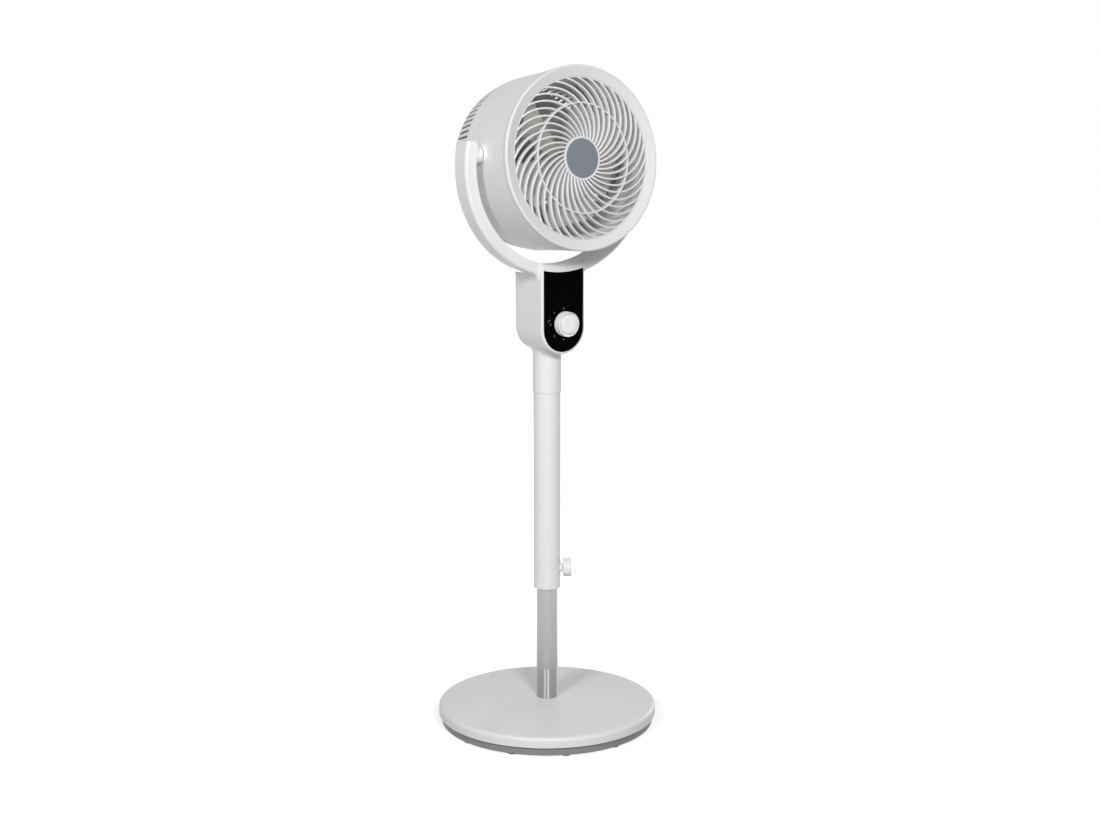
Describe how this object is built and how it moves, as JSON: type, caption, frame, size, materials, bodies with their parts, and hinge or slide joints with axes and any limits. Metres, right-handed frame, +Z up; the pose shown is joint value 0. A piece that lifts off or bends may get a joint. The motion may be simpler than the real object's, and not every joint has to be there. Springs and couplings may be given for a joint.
{
  "type": "air circulator fan",
  "caption": "Pedestal air circulator fan with a drum-shaped tilting and oscillating head, swirled front grille, yoke with a dial panel, telescopic pole and round weighted base.",
  "frame": {"origin": "on the floor, at the centre of the round base and on the pole's axis", "axes": "+Z up along the pole, the fan blows towards -Y, +X to the right when facing the front of the fan"},
  "size_m": [0.34, 0.34, 1.019],
  "materials": {
    "white_plastic": "satin moulded ABS",
    "grey_plastic": "matte moulded polypropylene",
    "panel_black": "gloss black acrylic",
    "dark_plastic": "matte phenolic",
    "badge_grey": "satin blue-grey",
    "cream_plastic": "glossy warm cream",
    "bearing_plastic": "natural acetal",
    "painted_tube": "satin white powder coat",
    "chrome_tube": "bright chrome plating",
    "steel": "zinc plated",
    "motor_steel": "laminated sheet",
    "weight_iron": "as cast",
    "aluminium": "die cast",
    "copper": "enamelled copper wire",
    "rubber": "matte grey"
  },
  "bodies": {
    "base": {"base_cover": "white_plastic", "base_tray": "grey_plastic", "base_feet": "rubber", "base_screws": "steel", "base_weight": "weight_iron", "pole_flange": "steel", "flange_screws": "steel", "inner_pole": "chrome_tube", "pole_guide": "bearing_plastic"},
    "mast": {"outer_pole": "painted_tube", "lower_bush": "white_plastic", "clamp_boss": "painted_tube", "clamp_pad": "bearing_plastic", "swivel_post": "steel", "thrust_washer": "bearing_plastic", "fixed_gear": "bearing_plastic", "post_nut": "steel"},
    "height_knob": {"height_knob": "white_plastic", "height_screw": "steel"},
    "yoke": {"yoke_housing": "white_plastic", "housing_back": "white_plastic", "housing_screws": "steel", "left_arm_cover": "white_plastic", "right_arm_cover": "white_plastic", "control_panel": "panel_black", "rotary_switch": "dark_plastic", "switch_nut": "steel", "run_capacitor": "dark_plastic", "cord_gland": "grey_plastic", "swivel_bushes": "bearing_plastic", "drive_plate": "steel", "plate_screws": "steel", "swing_motor": "steel", "pivot_bolts": "steel", "pivot_nuts": "steel"},
    "pinion": {"swing_pinion": "bearing_plastic"},
    "speed_dial": {"speed_dial": "white_plastic", "dial_shaft": "steel"},
    "head": {"drum_shell": "white_plastic", "pivot_bushes": "bearing_plastic", "friction_washers": "rubber", "spring_washers": "steel", "rear_shell": "white_plastic", "rear_grate": "white_plastic", "rear_screws": "steel", "motor_cover": "white_plastic", "motor_rear_shield": "aluminium", "motor_front_shield": "aluminium", "motor_bearings": "steel", "stator_core": "motor_steel", "stator_windings": "copper", "air_duct": "white_plastic", "front_bezel": "white_plastic", "front_grille": "white_plastic", "hub_badge": "badge_grey"},
    "impeller": {"motor_shaft": "steel", "rotor_core": "motor_steel", "impeller": "cream_plastic", "spinner_nut": "cream_plastic"}
  },
  "joints": [
    {"name": "height_slide", "type": "slide", "parent": "base", "child": "mast", "axis": [0, 0, 1], "range_m": [-0.15, 0.03]},
    {"name": "height_clamp", "type": "hinge", "parent": "mast", "child": "height_knob", "pos_m": [0, 0, 0.248], "axis": [0.8192, -0.5736, 0], "range_deg": [0, 360]},
    {"name": "swivel", "type": "hinge", "parent": "mast", "child": "yoke", "pos_m": [0, 0, 0.6], "axis": [0, 0, 1], "range_deg": [-45, 45]},
    {"name": "pinion_spin", "type": "hinge", "parent": "yoke", "child": "pinion", "pos_m": [-0.02525, 0, 0.6155], "axis": [0, 0, 1], "range_deg": [-115, 115]},
    {"name": "dial_turn", "type": "hinge", "parent": "yoke", "child": "speed_dial", "pos_m": [0, -0.0435, 0.636], "axis": [0, -1, 0], "range_deg": [0, 180]},
    {"name": "head_tilt", "type": "hinge", "parent": "yoke", "child": "head", "pos_m": [0, -0.0225, 0.892], "axis": [-1, 0, 0], "range_deg": [-20, 83]},
    {"name": "impeller_spin", "type": "hinge", "parent": "head", "child": "impeller", "pos_m": [0, 0, 0.8735], "axis": [0, -0.9925, 0.1219], "continuous": true}
  ],
  "couplings": [
    {"joint": "pinion_spin", "follows": "swivel", "ratio": 2.5}
  ]
}
